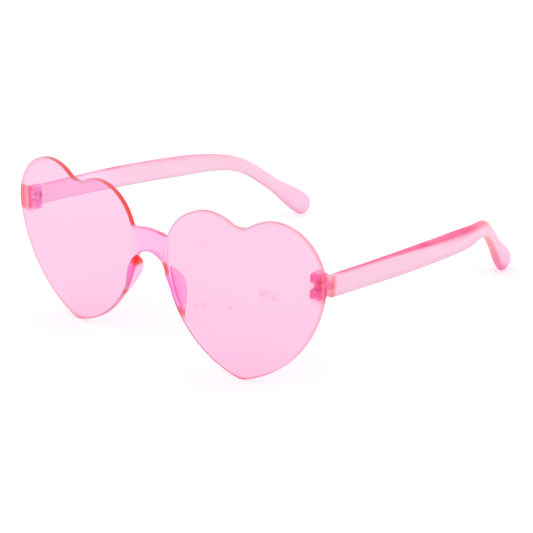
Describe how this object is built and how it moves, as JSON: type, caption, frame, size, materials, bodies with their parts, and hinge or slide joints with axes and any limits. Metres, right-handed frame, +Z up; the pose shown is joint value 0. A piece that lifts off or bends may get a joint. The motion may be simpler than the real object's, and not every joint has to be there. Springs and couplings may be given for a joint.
{
  "type": "heart shaped sunglasses",
  "caption": "Rimless sunglasses cut from one clear tinted sheet as hearts joined by a bridge, with bonded nose pads, hinge blocks and frosted temples that fold inward on screws.",
  "frame": {"origin": "middle of the underside of the bounding box of the open glasses, on the plane they stand on", "axes": "+X across the face with the mirror plane at X = 0, the hearts face -Y, the temples run back along +Y, +Z up; node names give the wearer's left (+X) and right (-X)"},
  "size_m": [0.1388, 0.1466, 0.0561],
  "materials": {
    "tinted_sheet": "clear pink polycarbonate, polished faces, orange-red glow along the cut edge",
    "clear_pad": "clear pink, glossy",
    "clear_hinge": "clear pink, glossy",
    "frosted_temple": "frosted translucent pink, satin",
    "screw_steel": "bright steel screw seen through pink plastic"
  },
  "bodies": {
    "frame": {"front": "tinted_sheet", "nose_pad_left": "clear_pad", "nose_pad_right": "clear_pad", "hinge_block_left": "clear_hinge", "hinge_block_right": "clear_hinge", "hinge_screw_left": "screw_steel", "hinge_screw_right": "screw_steel"},
    "left_temple": {"temple_left": "frosted_temple"},
    "right_temple": {"temple_right": "frosted_temple"}
  },
  "joints": [
    {"name": "left_temple_fold", "type": "hinge", "parent": "frame", "child": "left_temple", "pos_m": [0.06454, -0.06464, 0.03783], "axis": [0, 0.0147, 0.9999], "range_deg": [0, 83]},
    {"name": "right_temple_fold", "type": "hinge", "parent": "frame", "child": "right_temple", "pos_m": [-0.06454, -0.06464, 0.03783], "axis": [0, -0.0147, -0.9999], "range_deg": [0, 72]}
  ]
}
